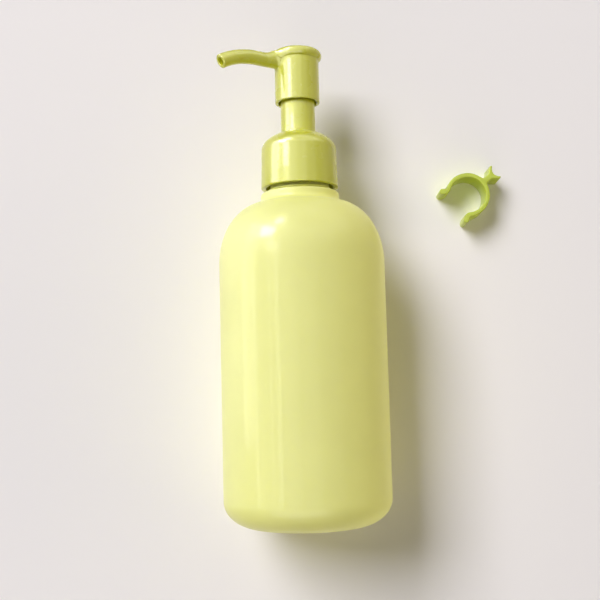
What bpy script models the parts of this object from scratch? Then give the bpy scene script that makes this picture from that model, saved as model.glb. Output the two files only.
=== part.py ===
"""Lotion pump bottle with its lock clip taken off, in metres with +Z up.

The origin is the centre of the base and the pump's axis is +Z. The spout points to -X, turned
a little towards -Y. The clip lies beside the bottle, its own axis along Y.
"""
import math

import bmesh
import bpy

GAP = 0.0003  # clearance between pieces that touch
BOTTLE_ROUND = 48  # sides of the bottle
PUMP_ROUND = 40  # sides of a turned pump piece that shows
INNER_ROUND = 28  # sides of a turned piece inside the pump

# Bottle
BODY_RADIUS = 0.0300
BODY_WALL = 0.0014
BASE_CORNER_WIDTH = 0.0130  # half-axes of the corner between the base and the side
BASE_CORNER_HEIGHT = 0.0097
STANDING_RING = 0.0030  # width of the flat ring that it stands on
BASE_RECESS = 0.0008  # height of the panel inside that ring
FLOOR_WALL = 0.0016
BODY_HEIGHT = 0.1206  # from the base to the top of the step under the closure
SHOULDER_DROP = 0.0267  # from that top to the end of the straight side
SHOULDER_HEIGHT = 0.0221
SHOULDER_WIDTH = 0.01593
STEP_RADIUS = 0.0143
STEP_EDGE = 0.0006
STEP_FOOT = 0.0022  # fillet between the step and the shoulder
NECK_ROOT_RADIUS = 0.01085
NECK_BORE_RADIUS = 0.0084
BEAD_RADIUS = 0.0114
BEAD_HEIGHT = 0.0006
BEAD_RISE = 0.0005  # from the step to the bead

# Thread between the neck and the closure
PITCH = 0.003175  # eight threads an inch
NECK_THREAD_TURNS = 1.5
NECK_THREAD_CORD = 0.00085
NECK_THREAD_SINK = 0.0001  # how far the cord's centre lies outside the neck
CLOSURE_THREAD_TURNS = 1.25
CLOSURE_THREAD_CORD = 0.0007
NECK_THREAD_DROP = 0.0018  # from the neck's top to the upper end of its thread

# Closure
CLOSURE_GAP = 0.0016  # between the step and the closure's lip
LIP_RADIUS = 0.0141
LIP_EDGE = 0.0003
CLOSURE_SIDE_HEIGHT = 0.0138
CLOSURE_TOP_RADIUS = 0.01376  # where the side meets the dome
CLOSURE_BORE_RADIUS = 0.0123
DOME_WIDTH = 0.02236  # half-axes of the dome's ellipse
DOME_HEIGHT = 0.00894
DOME_WALL = 0.0015
CLOSURE_SEAT_HEIGHT = 0.0156  # from the lip to the face that presses on the flange

# Guide sleeve, which stands still while the head slides over it
SLEEVE_RADIUS = 0.00632
SLEEVE_BORE_RADIUS = 0.0050
SLEEVE_HOLE_CLEARANCE = 0.00043
EXPOSED_SLEEVE = 0.01148
SLEEVE_OVERLAP = 0.0006  # how far the sleeve reaches into the skirt at rest
COLLAR_FLANGE_RADIUS = 0.0083
COLLAR_FLANGE_HEIGHT = 0.0009
GUIDE_RADIUS_CLEARANCE = 0.0004
GUIDE_HEIGHT = 0.0015
GUIDE_DEPTH = 0.0079  # from the closure's seat down to the guide's underside

# Head
STROKE = 0.0112
HEAD_HEIGHT = 0.0195
SKIRT_RADIUS = 0.0082
SKIRT_BORE_RADIUS = 0.0071
RIM_RADIUS = 0.00935
RIM_ROUND = 0.00188
DISH_DEPTH = 0.0006
SOCKET_WALL = 0.0011
SOCKET_RISE = 0.00085  # from the sleeve's top to the socket's mouth
SPOUT_TURN = 28.0  # degrees from -X towards -Y
SPOUT_RADIUS = 0.0026
SPOUT_BORE_RADIUS = 0.0015
SPOUT_REACH = 0.0308
SPOUT_BEND_RADIUS = 0.025
SPOUT_RISE = 2.2  # degrees that it climbs where it leaves the head
SPOUT_BEND = 30.0  # degrees that the tip points down
SPOUT_DROP = 0.0051  # from the head's top to the spout's centre line, on the pump's axis

# Piston rod and what it carries
ROD_RADIUS = 0.0031
ROD_BORE_RADIUS = 0.0017
ROD_COLLAR_RADIUS = 0.0046
ROD_COLLAR_HEIGHT = 0.0013
PORT_RADIUS = 0.0007
PISTON_SLIP = 0.0010  # the seal's free travel on the rod
SEAL_HEIGHT = 0.0063
SEAL_LIP = 0.0012
SEAL_WAIST = 0.0008
SEAL_CHAMBER_WALL = 0.0009
VALVE_CONE_HEIGHT = 0.0010
VALVE_RADIUS = 0.0049
VALVE_FLANGE_HEIGHT = 0.0013
VALVE_PIN_RADIUS = 0.0029
VALVE_PIN_LENGTH = 0.0050
VALVE_STEM_LENGTH = 0.0032

# Housing, ball and dip tube
FLANGE_RADIUS = 0.0108
FLANGE_HEIGHT = 0.0022
FLANGE_FLOOR = 0.0010
GASKET_HEIGHT = 0.0010
BARREL_BORE_RADIUS = 0.0064
BARREL_WALL = 0.0012
BARREL_HEIGHT = 0.0071  # of the wider barrel under the flange
CYLINDER_RADIUS = 0.0060
CYLINDER_WALL = 0.0011
SPRING_LENGTH = 0.0247
SPRING_RADIUS = 0.0040  # to the middle of the wire
SPRING_WIRE_RADIUS = 0.0004
SPRING_TURNS = 7.5
BALL_RADIUS = 0.0024
BALL_LIFT = 0.0015
BALL_CLEARANCE = 0.0005
BALL_STOP_RADIUS = 0.0019
BALL_STOP_HEIGHT = 0.0012
INLET_RADIUS = 0.0013
SEAT_HEIGHT = 0.0025
INLET_LENGTH = 0.0020
TUBE_RADIUS = 0.0027
TUBE_BORE_RADIUS = 0.0017
TUBE_SOCKET_DEPTH = 0.0100
TUBE_SOCKET_WALL = 0.0013
TUBE_FLOOR_GAP = 0.0016
TUBE_CUT = 30.0  # degrees of the oblique cut at its foot
VENT_RADIUS = 0.0005

# Lock clip
CLIP_CENTRE_X = 0.0650
CLIP_CENTRE_Z = 0.1220
CLIP_INNER_RADIUS = 0.00694
CLIP_WALL = 0.0016
CLIP_OPENING = 218.0  # degrees from +X towards +Z
CLIP_ARM_ANGLE = 58.0  # from the opening's middle to where an arm leaves the ring
CLIP_BEND_RADIUS = 0.0017
CLIP_BEND = 68.0
CLIP_LIP_LENGTH = 0.0010
CLIP_LIP_GROWTH = 1.3
CLIP_STEM_WIDTH = 0.0022
CLIP_STEM_LENGTH = 0.0031
CLIP_GRIP_WIDTH = 0.0060
CLIP_GRIP_LENGTH = 0.0029
CLIP_GRIP_DISH = 0.0015

# Colours of the plastics, as linear values
BOTTLE_COLOUR = (0.78, 0.76, 0.30)
PUMP_COLOUR = (0.72, 0.72, 0.19)
CLIP_COLOUR = (0.52, 0.62, 0.06)
NATURAL_COLOUR = (0.80, 0.80, 0.76)
GASKET_COLOUR = (0.85, 0.85, 0.83)
STEEL_COLOUR = (0.56, 0.57, 0.58)

# Heights that follow from the sizes above
STEP_TOP_Z = BODY_HEIGHT
SHOULDER_Z = BODY_HEIGHT - SHOULDER_DROP
LIP_Z = STEP_TOP_Z + CLOSURE_GAP
DOME_Z = LIP_Z + CLOSURE_SIDE_HEIGHT
SEAT_Z = LIP_Z + CLOSURE_SEAT_HEIGHT
FLANGE_TOP_Z = SEAT_Z - GAP
FLANGE_BOTTOM_Z = FLANGE_TOP_Z - FLANGE_HEIGHT
GASKET_TOP_Z = FLANGE_BOTTOM_Z - GAP
NECK_TOP_Z = GASKET_TOP_Z - GASKET_HEIGHT - GAP
SLEEVE_HOLE_RADIUS = SLEEVE_RADIUS + SLEEVE_HOLE_CLEARANCE


def dome_height(radius):
    """Height of the closure's domed top at a radius."""
    share = (radius - CLOSURE_TOP_RADIUS + DOME_WIDTH) / DOME_WIDTH
    return DOME_Z + DOME_HEIGHT * math.sqrt(1 - share * share)


SKIRT_Z = dome_height(SLEEVE_HOLE_RADIUS) + EXPOSED_SLEEVE
SLEEVE_TOP_Z = SKIRT_Z + SLEEVE_OVERLAP
HEAD_TOP_Z = SKIRT_Z + HEAD_HEIGHT
SPOUT_Z = HEAD_TOP_Z - SPOUT_DROP
CAVITY_TOP_Z = SLEEVE_TOP_Z + STROKE + 2 * GAP
SOCKET_BORE_RADIUS = ROD_RADIUS + GAP
SOCKET_RADIUS = SOCKET_BORE_RADIUS + SOCKET_WALL
SOCKET_Z = SLEEVE_TOP_Z + SOCKET_RISE
ROD_TOP_Z = CAVITY_TOP_Z - 0.00105 - GAP
GUIDE_Z = SEAT_Z - GUIDE_DEPTH
ROD_COLLAR_TOP_Z = GUIDE_Z - GAP
ROD_COLLAR_BOTTOM_Z = ROD_COLLAR_TOP_Z - ROD_COLLAR_HEIGHT
SEAL_TOP_Z = ROD_COLLAR_BOTTOM_Z - GAP - PISTON_SLIP
SEAL_BOTTOM_Z = SEAL_TOP_Z - SEAL_HEIGHT
SEAL_BORE_RADIUS = ROD_RADIUS + GAP
SEAL_CHAMBER_RADIUS = ROD_RADIUS + SEAL_CHAMBER_WALL
VALVE_TOP_Z = SEAL_BOTTOM_Z - GAP
VALVE_TOP_RADIUS = SEAL_CHAMBER_RADIUS - 0.0002
VALVE_SPRING_Z = VALVE_TOP_Z - VALVE_CONE_HEIGHT - VALVE_FLANGE_HEIGHT
ROD_BOTTOM_Z = VALVE_TOP_Z + GAP
SPRING_TOP_Z = VALVE_SPRING_Z - GAP
SPRING_BOTTOM_Z = SPRING_TOP_Z - SPRING_LENGTH
SPRING_SEAT_Z = SPRING_BOTTOM_Z - GAP
BALL_CEILING_Z = SPRING_SEAT_Z - BALL_STOP_HEIGHT
BALL_CHAMBER_RADIUS = BALL_RADIUS + BALL_CLEARANCE
BALL_Z = BALL_CEILING_Z - GAP - BALL_LIFT - BALL_RADIUS
SEAT_SLOPE = math.atan2(BALL_CHAMBER_RADIUS - INLET_RADIUS, SEAT_HEIGHT)
SEAT_APEX_Z = BALL_Z - (BALL_RADIUS + GAP) / math.sin(SEAT_SLOPE)
SEAT_BOTTOM_Z = SEAT_APEX_Z + INLET_RADIUS / math.tan(SEAT_SLOPE)
SEAT_TOP_Z = SEAT_BOTTOM_Z + SEAT_HEIGHT
TUBE_SOCKET_TOP_Z = SEAT_BOTTOM_Z - INLET_LENGTH
TUBE_SOCKET_BOTTOM_Z = TUBE_SOCKET_TOP_Z - TUBE_SOCKET_DEPTH
CHAMBER_RADIUS = TUBE_RADIUS + GAP + TUBE_SOCKET_WALL
BARREL_BOTTOM_Z = FLANGE_BOTTOM_Z - BARREL_HEIGHT
COLLAR_SEAT_Z = FLANGE_BOTTOM_Z + FLANGE_FLOOR
COLLAR_TUBE_RADIUS = BARREL_BORE_RADIUS - GAP
FLOOR_Z = BASE_RECESS + FLOOR_WALL
TUBE_BOTTOM_Z = FLOOR_Z + TUBE_FLOOR_GAP


def clear_scene():
    for obj in list(bpy.data.objects):
        bpy.data.objects.remove(obj, do_unlink=True)


def collection(name):
    made = bpy.data.collections.new(name)
    bpy.context.scene.collection.children.link(made)
    return made


def material(name, colour, roughness, metallic=0.0):
    made = bpy.data.materials.new(name)
    made.use_nodes = True
    shader = made.node_tree.nodes["Principled BSDF"]
    shader.inputs["Base Color"].default_value = (*colour, 1.0)
    shader.inputs["Roughness"].default_value = roughness
    shader.inputs["Metallic"].default_value = metallic
    made.diffuse_color = (*colour, 1.0)
    return made


def arc(centre, radii, start, end, count):
    """Points along an ellipse's arc, both ends included. Angles in degrees from +r towards +z."""
    points = []
    for step in range(count + 1):
        angle = math.radians(start + (end - start) * step / count)
        points.append((centre[0] + radii[0] * math.cos(angle), centre[1] + radii[1] * math.sin(angle)))
    return points


def evaluated_mesh(obj):
    bpy.context.view_layer.update()
    graph = bpy.context.evaluated_depsgraph_get()
    return bpy.data.meshes.new_from_object(obj.evaluated_get(graph))


def turned(name, profile, sides, closed=True):
    """Turns (r, z) points about Z. The profile runs down the outer side of the shape."""
    edges = [(i, i + 1) for i in range(len(profile) - 1)]
    if closed:
        edges.append((len(profile) - 1, 0))
    mesh = bpy.data.meshes.new(name)
    mesh.from_pydata([(r, 0.0, z) for r, z in profile], edges, [])
    obj = bpy.data.objects.new(name, mesh)
    PARTS.objects.link(obj)
    screw = obj.modifiers.new("Turn", "SCREW")
    screw.steps = sides
    screw.render_steps = sides
    screw.use_merge_vertices = True
    screw.merge_threshold = 0.00001
    return obj


def tube(name, points, radius, point_radii=None, bevel_resolution=2):
    """A round bar along points, as a welded mesh."""
    curve = bpy.data.curves.new(name, "CURVE")
    curve.dimensions = "3D"
    curve.bevel_depth = radius
    curve.bevel_resolution = bevel_resolution
    curve.use_fill_caps = True
    spline = curve.splines.new("POLY")
    spline.points.add(len(points) - 1)
    for index, point in enumerate(points):
        spline.points[index].co = (*point, 1.0)
        if point_radii:
            spline.points[index].radius = point_radii[index]
    guide = bpy.data.objects.new(name + "_path", curve)
    PARTS.objects.link(guide)
    mesh = evaluated_mesh(guide)
    bpy.data.objects.remove(guide, do_unlink=True)
    return welded(name, mesh)


def welded(name, mesh):
    shape = bmesh.new()
    shape.from_mesh(mesh)
    bmesh.ops.remove_doubles(shape, verts=shape.verts, dist=0.000001)
    bmesh.ops.recalc_face_normals(shape, faces=shape.faces)
    shape.to_mesh(mesh)
    shape.free()
    obj = bpy.data.objects.new(name, mesh)
    PARTS.objects.link(obj)
    return obj


def plate(name, outline, thickness):
    """A flat outline in its own XY plane, made thick along Z about its middle."""
    curve = bpy.data.curves.new(name, "CURVE")
    curve.dimensions = "2D"
    curve.fill_mode = "BOTH"
    curve.extrude = thickness / 2
    spline = curve.splines.new("POLY")
    spline.points.add(len(outline) - 1)
    spline.use_cyclic_u = True
    for index, point in enumerate(outline):
        spline.points[index].co = (*point, 0.0, 1.0)
    guide = bpy.data.objects.new(name + "_outline", curve)
    PARTS.objects.link(guide)
    mesh = evaluated_mesh(guide)
    bpy.data.objects.remove(guide, do_unlink=True)
    return welded(name, mesh)


def cylinder(name, radius, length, sides=16):
    bpy.ops.mesh.primitive_cylinder_add(vertices=sides, radius=radius, depth=length)
    obj = bpy.context.object
    obj.name = name
    for home in list(obj.users_collection):
        home.objects.unlink(obj)
    PARTS.objects.link(obj)
    return obj


def combine(target, other, operation):
    """Joins or cuts the target with another object, which then becomes a cutter."""
    modifier = target.modifiers.new(operation.title(), "BOOLEAN")
    modifier.operation = operation
    modifier.solver = "EXACT"
    modifier.object = other
    PARTS.objects.unlink(other)
    CUTTERS.objects.link(other)
    other.hide_render = True
    other.display_type = "WIRE"


def finished(obj, surface):
    """Bakes the modifiers, shades the piece smooth and gives it its material."""
    mesh = evaluated_mesh(obj)
    obj.modifiers.clear()
    obj.data = mesh
    mesh.name = obj.name
    mesh.materials.clear()
    mesh.materials.append(surface)
    mesh.shade_smooth()
    mesh.set_sharp_from_angle(angle=math.radians(32))
    return obj


def helix(radius, start_z, turns, points_per_turn):
    """Points of a right-handed helix that climbs one pitch a turn."""
    count = round(turns * points_per_turn)
    points = []
    for step in range(count + 1):
        angle = 2 * math.pi * step / points_per_turn
        height = start_z + PITCH * step / points_per_turn
        points.append((radius * math.cos(angle), radius * math.sin(angle), height))
    return points


def thread(name, radius, cord, start_z, turns):
    """A rounded thread whose ends run out over a sixth of a turn."""
    per_turn = 24
    points = helix(radius, start_z, turns, per_turn)
    fade = per_turn / 6
    last = len(points) - 1
    radii = [min(1.0, 0.35 + 0.65 * min(i, last - i) / fade) for i in range(last + 1)]
    return tube(name, points, cord, radii, bevel_resolution=1)


def neck_thread_start():
    return NECK_TOP_Z - NECK_THREAD_DROP - NECK_THREAD_TURNS * PITCH


def step_foot_angle(centre):
    """Where on the shoulder's ellipse the step's foot fillet touches it, in degrees."""
    low, high = 0.0, math.pi / 2
    for _ in range(40):
        middle = (low + high) / 2
        normal = (math.cos(middle) / SHOULDER_WIDTH, math.sin(middle) / SHOULDER_HEIGHT)
        radius = centre[0] + SHOULDER_WIDTH * math.cos(middle) + STEP_FOOT * normal[0] / math.hypot(*normal)
        if radius > STEP_RADIUS + STEP_FOOT:
            low = middle
        else:
            high = middle
    return math.degrees(low)


def bottle():
    neck_edge = 0.0005
    inner_radius = BODY_RADIUS - BODY_WALL
    shoulder_centre = (BODY_RADIUS - SHOULDER_WIDTH, SHOULDER_Z)
    ring_outer = BODY_RADIUS - BASE_CORNER_WIDTH
    ring_inner = ring_outer - STANDING_RING
    recess_edge = 2 * BASE_RECESS
    inner_corner = (BASE_CORNER_WIDTH - BODY_WALL, BASE_CORNER_HEIGHT - BODY_WALL)
    inner_shoulder = (SHOULDER_WIDTH - BODY_WALL, SHOULDER_HEIGHT - BODY_WALL)
    step_inner = STEP_RADIUS - BODY_WALL
    step_room = (STEP_TOP_Z - BODY_WALL) - (SHOULDER_Z + inner_shoulder[1])
    touch = step_foot_angle(shoulder_centre)
    touch_r = shoulder_centre[0] + SHOULDER_WIDTH * math.cos(math.radians(touch))
    touch_z = shoulder_centre[1] + SHOULDER_HEIGHT * math.sin(math.radians(touch))
    foot_turn = math.degrees(math.acos((STEP_RADIUS + STEP_FOOT - touch_r) / STEP_FOOT))
    foot_centre = (STEP_RADIUS + STEP_FOOT, touch_z + STEP_FOOT * math.sin(math.radians(foot_turn)))
    bead_z = STEP_TOP_Z + BEAD_RISE

    inside = [(0.0, FLOOR_Z)]
    inside += arc((inner_radius - inner_corner[0], FLOOR_Z + inner_corner[1]), inner_corner, -90, 0, 5)
    inside += arc(shoulder_centre, inner_shoulder, 0, 90, 7)
    inside += [(step_inner, SHOULDER_Z + inner_shoulder[1] + 0.3 * step_room)]
    inside += [(step_inner - 0.0012, STEP_TOP_Z - BODY_WALL)]
    inside += [(NECK_BORE_RADIUS, STEP_TOP_Z - BODY_WALL), (NECK_BORE_RADIUS, NECK_TOP_Z)]

    outside = [(NECK_ROOT_RADIUS - neck_edge, NECK_TOP_Z), (NECK_ROOT_RADIUS, NECK_TOP_Z - neck_edge)]
    outside += [(NECK_ROOT_RADIUS, bead_z + BEAD_HEIGHT), (BEAD_RADIUS, bead_z + 0.75 * BEAD_HEIGHT)]
    outside += [(BEAD_RADIUS, bead_z + 0.25 * BEAD_HEIGHT), (NECK_ROOT_RADIUS, bead_z)]
    outside += [(NECK_ROOT_RADIUS, STEP_TOP_Z)]
    outside += arc((STEP_RADIUS - STEP_EDGE, STEP_TOP_Z - STEP_EDGE), (STEP_EDGE, STEP_EDGE), 90, 0, 3)
    outside += arc(foot_centre, (STEP_FOOT, STEP_FOOT), 180, 180 + foot_turn, 4)[:-1]
    outside += arc(shoulder_centre, (SHOULDER_WIDTH, SHOULDER_HEIGHT), touch, 0, 11)
    outside += arc((ring_outer, BASE_CORNER_HEIGHT), (BASE_CORNER_WIDTH, BASE_CORNER_HEIGHT), 0, -90, 8)
    outside += [(ring_inner, 0.0), (ring_inner - recess_edge, BASE_RECESS), (0.0, BASE_RECESS)]

    obj = turned("bottle", inside + outside, BOTTLE_ROUND, closed=False)
    ridge = thread(
        "neck_thread",
        NECK_ROOT_RADIUS + NECK_THREAD_SINK,
        NECK_THREAD_CORD,
        neck_thread_start(),
        NECK_THREAD_TURNS,
    )
    combine(obj, ridge, "UNION")
    return finished(obj, BOTTLE_PLASTIC)


def closure():
    share = (CLOSURE_TOP_RADIUS - SLEEVE_HOLE_RADIUS) / DOME_WIDTH
    hole_angle = math.degrees(math.acos(1 - share))
    press_radius = COLLAR_FLANGE_RADIUS - 0.0007
    press_edge = CLOSURE_BORE_RADIUS - 0.0009
    outside = arc((CLOSURE_TOP_RADIUS - DOME_WIDTH, DOME_Z), (DOME_WIDTH, DOME_HEIGHT), hole_angle, 0, 10)
    outside += arc((LIP_RADIUS - LIP_EDGE, LIP_Z + LIP_EDGE), (LIP_EDGE, LIP_EDGE), 0, -90, 3)
    inside = [(CLOSURE_BORE_RADIUS, LIP_Z), (CLOSURE_BORE_RADIUS, SEAT_Z - 0.0005)]
    inside += [(press_edge, SEAT_Z), (press_radius, SEAT_Z)]
    inside += [(press_radius, dome_height(press_radius) - DOME_WALL)]
    inside += [(SLEEVE_HOLE_RADIUS, dome_height(SLEEVE_HOLE_RADIUS) - DOME_WALL)]
    obj = turned("closure", outside + inside, PUMP_ROUND)
    ridge_radius = CLOSURE_BORE_RADIUS - 0.0001
    ridge_z = neck_thread_start() - PITCH / 2
    ridge = thread("closure_thread", ridge_radius, CLOSURE_THREAD_CORD, ridge_z, CLOSURE_THREAD_TURNS)
    combine(obj, ridge, "UNION")
    return finished(obj, PUMP_PLASTIC)


def guide_sleeve():
    edge = 0.0003
    guide_radius = ROD_RADIUS + GUIDE_RADIUS_CLEARANCE
    profile = [(SLEEVE_BORE_RADIUS, SLEEVE_TOP_Z), (SLEEVE_RADIUS - edge, SLEEVE_TOP_Z)]
    profile += [(SLEEVE_RADIUS, SLEEVE_TOP_Z - edge), (SLEEVE_RADIUS, FLANGE_TOP_Z)]
    profile += [(COLLAR_FLANGE_RADIUS, FLANGE_TOP_Z), (COLLAR_FLANGE_RADIUS, FLANGE_TOP_Z - COLLAR_FLANGE_HEIGHT)]
    profile += [(COLLAR_TUBE_RADIUS, FLANGE_TOP_Z - COLLAR_FLANGE_HEIGHT), (COLLAR_TUBE_RADIUS, GUIDE_Z)]
    profile += [(guide_radius, GUIDE_Z), (guide_radius, GUIDE_Z + GUIDE_HEIGHT)]
    profile += [(SLEEVE_BORE_RADIUS, GUIDE_Z + GUIDE_HEIGHT)]
    return finished(turned("guide_sleeve", profile, PUMP_ROUND), PUMP_PLASTIC)


def spout_straight():
    """Length of the straight run, from the pump's axis to where the spout starts to bend."""
    rise, bend = math.radians(SPOUT_RISE), math.radians(SPOUT_BEND)
    return (SPOUT_REACH - SPOUT_BEND_RADIUS * (math.sin(rise) + math.sin(bend))) / math.cos(rise)


def spout_length():
    return spout_straight() + SPOUT_BEND_RADIUS * math.radians(SPOUT_RISE + SPOUT_BEND)


def spout_path(start, end, count):
    """Points of the spout's centre line between two distances along it from the pump's axis."""
    turn = math.radians(SPOUT_TURN)
    rise, bend = math.radians(SPOUT_RISE), math.radians(SPOUT_BEND)
    straight = spout_straight()
    points = []
    for step in range(count + 1):
        along = start + (end - start) * step / count
        first = min(along, straight)
        slope = rise - min(max(0.0, along - straight) / SPOUT_BEND_RADIUS, rise + bend)
        past = max(0.0, along - spout_length())
        reach = first * math.cos(rise) + SPOUT_BEND_RADIUS * (math.sin(rise) - math.sin(slope))
        height = SPOUT_Z + first * math.sin(rise) + SPOUT_BEND_RADIUS * (math.cos(slope) - math.cos(rise))
        reach += past * math.cos(bend)
        height -= past * math.sin(bend)
        points.append((-reach * math.cos(turn), -reach * math.sin(turn), height))
    return points


def pump_head():
    rim_centre = (RIM_RADIUS - RIM_ROUND, HEAD_TOP_Z - RIM_ROUND)
    rim_foot = -math.degrees(math.acos((SKIRT_RADIUS - rim_centre[0]) / RIM_ROUND))
    edge = 0.0003
    profile = []
    for step in range(5):
        radius = rim_centre[0] * step / 5
        profile.append((radius, HEAD_TOP_Z - DISH_DEPTH * (1 - (step / 5) ** 2)))
    profile += arc(rim_centre, (RIM_ROUND, RIM_ROUND), 90, rim_foot, 9)
    profile += [(SKIRT_RADIUS, SKIRT_Z + edge), (SKIRT_RADIUS - edge, SKIRT_Z)]
    profile += [(SKIRT_BORE_RADIUS, SKIRT_Z), (SKIRT_BORE_RADIUS, CAVITY_TOP_Z)]
    profile += [(SOCKET_RADIUS, CAVITY_TOP_Z), (SOCKET_RADIUS, SOCKET_Z)]
    profile += [(SOCKET_BORE_RADIUS, SOCKET_Z), (SOCKET_BORE_RADIUS, ROD_TOP_Z + GAP)]
    profile += [(ROD_BORE_RADIUS, ROD_TOP_Z + GAP), (ROD_BORE_RADIUS, SPOUT_Z), (0.0, SPOUT_Z)]
    obj = turned("pump_head", profile, PUMP_ROUND, closed=False)
    spout = tube("spout", spout_path(ROD_BORE_RADIUS + 0.003, spout_length(), 14), SPOUT_RADIUS)
    bore = tube("spout_bore", spout_path(0.0, spout_length() + 0.002, 14), SPOUT_BORE_RADIUS, bevel_resolution=1)
    combine(obj, spout, "UNION")
    combine(obj, bore, "DIFFERENCE")
    return finished(obj, PUMP_PLASTIC)


def piston_rod():
    profile = [(ROD_BORE_RADIUS, ROD_TOP_Z), (ROD_RADIUS, ROD_TOP_Z), (ROD_RADIUS, ROD_COLLAR_TOP_Z)]
    profile += [(ROD_COLLAR_RADIUS, ROD_COLLAR_TOP_Z), (ROD_COLLAR_RADIUS, ROD_COLLAR_BOTTOM_Z)]
    profile += [(ROD_RADIUS, ROD_COLLAR_BOTTOM_Z), (ROD_RADIUS, ROD_BOTTOM_Z), (ROD_BORE_RADIUS, ROD_BOTTOM_Z)]
    obj = turned("piston_rod", profile, INNER_ROUND)
    port_z = VALVE_TOP_Z + VALVE_STEM_LENGTH + 2 * GAP + PORT_RADIUS
    for index in range(2):
        port = cylinder(f"port_{index}", PORT_RADIUS, 4 * ROD_RADIUS, 12)
        port.location = (0.0, 0.0, port_z)
        port.rotation_euler = (math.pi / 2, 0.0, index * math.pi / 2)
        combine(obj, port, "DIFFERENCE")
    return finished(obj, NATURAL_PLASTIC)


def piston_seal():
    lip_radius = CYLINDER_RADIUS - GAP
    waist_radius = lip_radius - SEAL_WAIST
    bore_z = SEAL_TOP_Z - 0.0012
    profile = [(SEAL_BORE_RADIUS, SEAL_TOP_Z), (lip_radius - 0.0006, SEAL_TOP_Z), (lip_radius, SEAL_TOP_Z - 0.0002)]
    profile += [(lip_radius, SEAL_TOP_Z - SEAL_LIP), (waist_radius, SEAL_TOP_Z - SEAL_LIP - SEAL_WAIST)]
    profile += [(waist_radius, SEAL_BOTTOM_Z + SEAL_LIP + SEAL_WAIST), (lip_radius, SEAL_BOTTOM_Z + SEAL_LIP)]
    profile += [(lip_radius, SEAL_BOTTOM_Z + 0.0002), (lip_radius - 0.0006, SEAL_BOTTOM_Z)]
    profile += [(SEAL_CHAMBER_RADIUS, SEAL_BOTTOM_Z), (SEAL_CHAMBER_RADIUS, bore_z), (SEAL_BORE_RADIUS, bore_z)]
    return finished(turned("piston_seal", profile, INNER_ROUND), NATURAL_PLASTIC)


def valve_post():
    stem_radius = ROD_BORE_RADIUS - GAP
    cone_bottom_z = VALVE_TOP_Z - VALVE_CONE_HEIGHT
    profile = [(0.0, VALVE_TOP_Z + VALVE_STEM_LENGTH), (stem_radius, VALVE_TOP_Z + VALVE_STEM_LENGTH)]
    profile += [(stem_radius, VALVE_TOP_Z), (VALVE_TOP_RADIUS, VALVE_TOP_Z), (VALVE_RADIUS, cone_bottom_z)]
    profile += [(VALVE_RADIUS, VALVE_SPRING_Z), (VALVE_PIN_RADIUS, VALVE_SPRING_Z)]
    profile += [(VALVE_PIN_RADIUS, VALVE_SPRING_Z - VALVE_PIN_LENGTH + 0.0008)]
    profile += [(VALVE_PIN_RADIUS - 0.0008, VALVE_SPRING_Z - VALVE_PIN_LENGTH)]
    profile += [(0.0, VALVE_SPRING_Z - VALVE_PIN_LENGTH)]
    return finished(turned("valve_post", profile, INNER_ROUND, closed=False), NATURAL_PLASTIC)


def return_spring():
    per_turn = 10
    closed_turns = 0.75
    count = round(SPRING_TURNS * per_turn)
    low = SPRING_BOTTOM_Z + SPRING_WIRE_RADIUS
    high = SPRING_TOP_Z - SPRING_WIRE_RADIUS
    wire = 2 * SPRING_WIRE_RADIUS
    end_rise = (wire + GAP + 0.0002) * closed_turns
    middle_turns = SPRING_TURNS - 2 * closed_turns
    points = []
    for step in range(count + 1):
        turn = step / per_turn
        if turn < closed_turns:
            height = low + end_rise * turn / closed_turns
        elif turn > SPRING_TURNS - closed_turns:
            height = high - end_rise * (SPRING_TURNS - turn) / closed_turns
        else:
            height = low + end_rise + (high - low - 2 * end_rise) * (turn - closed_turns) / middle_turns
        angle = 2 * math.pi * turn
        points.append((SPRING_RADIUS * math.cos(angle), SPRING_RADIUS * math.sin(angle), height))
    gaps = [points[i + per_turn][2] - points[i][2] - wire for i in range(count - per_turn + 1)]
    print(f"least gap between the spring's turns: {1000 * min(gaps):.2f} mm")
    return finished(tube("return_spring", points, SPRING_WIRE_RADIUS, bevel_resolution=1), SPRING_STEEL)


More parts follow.
